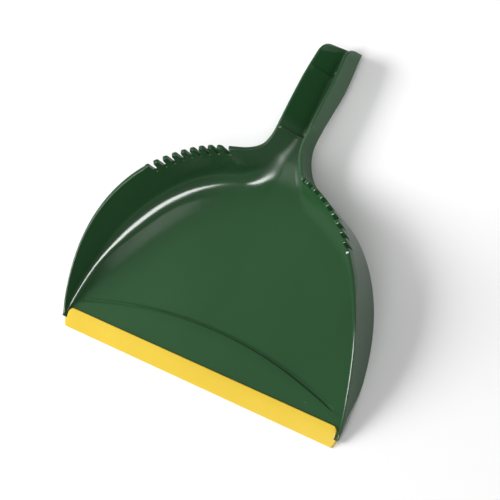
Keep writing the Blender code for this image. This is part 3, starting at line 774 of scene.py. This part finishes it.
def plastic(name, deep, light, rough, specular, bump, flow_scale, coat, satin=()):
    """Moulded thermoplastic: faint flow marks in the colour, patchy gloss and a
    very fine orange peel, with small scuffs."""
    m = bpy.data.materials.new(name)
    m.use_nodes = True
    t = m.node_tree
    b = t.nodes['Principled BSDF']
    out = t.nodes['Material Output']
    co = node(t, 'ShaderNodeTexCoord')
    # slow drift of the pigment across the moulding
    mp = node(t, 'ShaderNodeMapping', in_Scale=(flow_scale, flow_scale * 0.55, flow_scale))
    t.links.new(co.outputs['Object'], mp.inputs['Vector'])
    drift = node(t, 'ShaderNodeTexNoise', in_Scale=6.0, in_Detail=3.0, in_Roughness=0.55)
    t.links.new(mp.outputs['Vector'], drift.inputs['Vector'])
    speck = node(t, 'ShaderNodeTexNoise', in_Scale=900.0, in_Detail=2.0, in_Roughness=0.6)
    t.links.new(co.outputs['Object'], speck.inputs['Vector'])
    mixed = node(t, 'ShaderNodeMath', operation='MULTIPLY_ADD')
    mixed.inputs[1].default_value = 0.25
    t.links.new(speck.outputs['Fac'], mixed.inputs[0])
    t.links.new(drift.outputs['Fac'], mixed.inputs[2])
    col = ramp(t, [(0.35, deep), (0.85, light)])
    t.links.new(mixed.outputs['Value'], col.inputs['Fac'])
    t.links.new(col.outputs['Color'], b.inputs['Base Color'])
    # patchy gloss and thin scuffs
    patch = node(t, 'ShaderNodeTexNoise', in_Scale=38.0, in_Detail=4.0, in_Roughness=0.6)
    t.links.new(co.outputs['Object'], patch.inputs['Vector'])
    sm = node(t, 'ShaderNodeMapping', in_Rotation=(0.0, 0.0, 0.7), in_Scale=(14.0, 260.0, 40.0))
    t.links.new(co.outputs['Object'], sm.inputs['Vector'])
    scuff = node(t, 'ShaderNodeTexNoise', in_Scale=2.2, in_Detail=3.0, in_Roughness=0.7)
    t.links.new(sm.outputs['Vector'], scuff.inputs['Vector'])
    sr = ramp(t, [(0.62, (0.0, 0.0, 0.0)), (0.78, (1.0, 1.0, 1.0))])
    t.links.new(scuff.outputs['Fac'], sr.inputs['Fac'])
    r1 = node(t, 'ShaderNodeMapRange')
    r1.inputs['To Min'].default_value = rough - 0.025
    r1.inputs['To Max'].default_value = rough + 0.035
    t.links.new(patch.outputs['Fac'], r1.inputs['Value'])
    r2 = node(t, 'ShaderNodeMath', operation='MULTIPLY_ADD')
    r2.inputs[1].default_value = 0.03
    t.links.new(sr.outputs['Color'], r2.inputs[0])
    t.links.new(r1.outputs['Result'], r2.inputs[2])
    last = r2
    if satin:
        # the shoulders of the neck come off a satin part of the mould
        sep = node(t, 'ShaderNodeSeparateXYZ')
        t.links.new(co.outputs['Object'], sep.inputs['Vector'])
        y0, y1, y2, y3, add = satin
        up = node(t, 'ShaderNodeMapRange', interpolation_type='SMOOTHSTEP')
        up.inputs['From Min'].default_value, up.inputs['From Max'].default_value = y0, y1
        dn = node(t, 'ShaderNodeMapRange', interpolation_type='SMOOTHSTEP')
        dn.inputs['From Min'].default_value, dn.inputs['From Max'].default_value = y2, y3
        dn.inputs['To Min'].default_value, dn.inputs['To Max'].default_value = add, 0.0
        for q in (up, dn):
            t.links.new(sep.outputs['Y'], q.inputs['Value'])
        last = node(t, 'ShaderNodeMath', operation='MULTIPLY_ADD')
        t.links.new(up.outputs['Result'], last.inputs[0])
        t.links.new(dn.outputs['Result'], last.inputs[1])
        t.links.new(r2.outputs['Value'], last.inputs[2])
    t.links.new(last.outputs['Value'], b.inputs['Roughness'])
    # orange peel and long soft waviness of the cooled sheet
    peel = node(t, 'ShaderNodeTexNoise', in_Scale=420.0, in_Detail=1.0, in_Roughness=0.4)
    t.links.new(co.outputs['Object'], peel.inputs['Vector'])
    wave = node(t, 'ShaderNodeTexNoise', in_Scale=26.0, in_Detail=1.0, in_Roughness=0.3)
    t.links.new(co.outputs['Object'], wave.inputs['Vector'])
    b1 = node(t, 'ShaderNodeBump', in_Strength=1.0, in_Distance=bump)
    t.links.new(peel.outputs['Fac'], b1.inputs['Height'])
    b2 = node(t, 'ShaderNodeBump', in_Strength=1.0, in_Distance=bump * 6.0)
    t.links.new(wave.outputs['Fac'], b2.inputs['Height'])
    t.links.new(b1.outputs['Normal'], b2.inputs['Normal'])
    t.links.new(b2.outputs['Normal'], b.inputs['Normal'])
    b.inputs['Metallic'].default_value = 0.0
    b.inputs['IOR'].default_value = 1.49
    b.inputs['Specular IOR Level'].default_value = specular
    b.inputs['Coat Weight'].default_value = coat
    b.inputs['Coat Roughness'].default_value = 0.08
    t.links.new(b.outputs['BSDF'], out.inputs['Surface'])
    return m


def backdrop_material():
    m = bpy.data.materials.new('paper')
    m.use_nodes = True
    t = m.node_tree
    b = t.nodes['Principled BSDF']
    co = node(t, 'ShaderNodeTexCoord')
    n = node(t, 'ShaderNodeTexNoise', in_Scale=3.0, in_Detail=2.0)
    t.links.new(co.outputs['Object'], n.inputs['Vector'])
    c = ramp(t, [(0.3, (0.90, 0.90, 0.90)), (0.7, (0.92, 0.92, 0.92))])
    t.links.new(n.outputs['Fac'], c.inputs['Fac'])
    t.links.new(c.outputs['Color'], b.inputs['Base Color'])
    b.inputs['Roughness'].default_value = 0.9
    b.inputs['Specular IOR Level'].default_value = 0.1
    return m


green = plastic('green_moulding', (0.0152, 0.0625, 0.0203), (0.0232, 0.085, 0.0293),
                0.16, 0.5, 0.000004, 1.0, 0.0, (0.176, 0.196, 0.226, 0.240, 0.36))
yellow = plastic('yellow_rubber_lip', (0.70, 0.475, 0.024), (0.78, 0.55, 0.044),
                 0.36, 0.4, 0.000010, 2.0, 0.0)

pan = pan_mesh(green)
lip = lip_mesh(yellow)
for ob, cad, slot_name in ((pan, 'pan', 'green_plastic'), (lip, 'lip', 'yellow_rubber')):
    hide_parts(cad)
    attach(ob, 'root')


# ---- studio ----------------------------------------------------------------
def plane(name, size, z, mat):
    bm = bmesh.new()
    h = size / 2
    bm.faces.new([bm.verts.new(p) for p in ((-h, -h, z), (h, -h, z), (h, h, z), (-h, h, z))])
    me = bpy.data.meshes.new(name)
    bm.to_mesh(me)
    bm.free()
    me.materials.append(mat)
    ob = bpy.data.objects.new(name, me)
    bpy.context.scene.collection.objects.link(ob)
    return ob


floor = plane('studio_floor', 24.0, -0.0002, backdrop_material())

AIM = Vector((0.0, 0.14, 0.02))


def softbox(name, towards, dist, w, h, power, roll=0.0, colour=(1.0, 1.0, 1.0)):
    """Rectangular area light on the given side of the object, facing it."""
    d = Vector(towards).normalized()
    light = bpy.data.lights.new(name, 'AREA')
    light.shape = 'RECTANGLE'
    light.size, light.size_y = w, h
    light.energy = power
    light.color = colour
    ob = bpy.data.objects.new(name, light)
    ob.matrix_world = (Matrix.Translation(AIM + d * dist)
                       @ d.to_track_quat('Z', 'Y').to_matrix().to_4x4()
                       @ Matrix.Rotation(roll, 4, 'Z'))
    bpy.context.scene.collection.objects.link(ob)
    return ob


# soft key from the left, a fill from the front on the right, and a long
# strip in front on the right that only shows as the bright lines in the gloss
key = softbox('key_left', (-0.82, -0.20, 0.56), 3.0, 2.0, 2.0, 112.0)
key.visible_glossy = False
fill = softbox('fill_right', (0.40, -0.44, 0.82), 3.0, 2.6, 2.6, 35.0)
fill.visible_glossy = False
strip = softbox('strip_front', (0.27, -0.46, 0.85), 3.0, 4.0, 1.05, 200.0)
strip.data.shape = 'ELLIPSE'
strip.visible_diffuse = False
# small low strip on the left for the thin lines on the rounded edges
edge = softbox('strip_left', (-0.949, 0.117, 0.300), 3.0, 0.8, 1.5, 16.0)
edge.visible_diffuse = False
# weak one overhead for the faint second line at the foot of the wall
over = softbox('strip_top', (0.07, -0.40, 0.91), 3.0, 2.0, 0.4, 6.0)
over.visible_diffuse = False
# small soft spot from behind on the right that lifts the paper beside the handle
spot = bpy.data.lights.new('spot_back', 'SPOT')
spot.energy = 5.0
spot.spot_size, spot.spot_blend = math.radians(27.0), 1.0
spot.shadow_soft_size = 0.12
spot_ob = bpy.data.objects.new('spot_back', spot)
pool = Vector((0.050, 0.262, 0.0))
at_spot = Vector((0.42, 0.40, 0.42))
spot_ob.matrix_world = (Matrix.Translation(at_spot)
                        @ (at_spot - pool).to_track_quat('Z', 'Y').to_matrix().to_4x4())
bpy.context.scene.collection.objects.link(spot_ob)
spot_ob.visible_glossy = False

world = bpy.data.worlds.new('studio')
bpy.context.scene.world = world
world.use_nodes = True
bg = world.node_tree.nodes['Background']
bg.inputs['Color'].default_value = (1.0, 1.0, 1.0, 1.0)
bg.inputs['Strength'].default_value = 0.28

scene = bpy.context.scene
scene.view_settings.view_transform = 'Standard'
scene.view_settings.look = 'None'
scene.view_settings.exposure = 0.0
scene.view_settings.gamma = 1.0

# ---- camera ----------------------------------------------------------------
cam_data = bpy.data.cameras.new('camera')
cam_data.sensor_width = 36.0
cam_data.lens = 136.8
cam_data.clip_start, cam_data.clip_end = 0.05, 60.0
cam = bpy.data.objects.new('camera', cam_data)
right = Vector((0.75417, 0.43964, -0.48779))
up = Vector((-0.29859, 0.89117, 0.34156))
back = right.cross(up).normalized()
right = up.cross(back).normalized()
up = back.cross(right)
cam.matrix_world = Matrix((
    (right.x, up.x, back.x, 0.9281),
    (right.y, up.y, back.y, -0.0575),
    (right.z, up.z, back.z, 1.2836),
    (0.0, 0.0, 0.0, 1.0)))
bpy.context.scene.collection.objects.link(cam)
bpy.context.scene.camera = cam
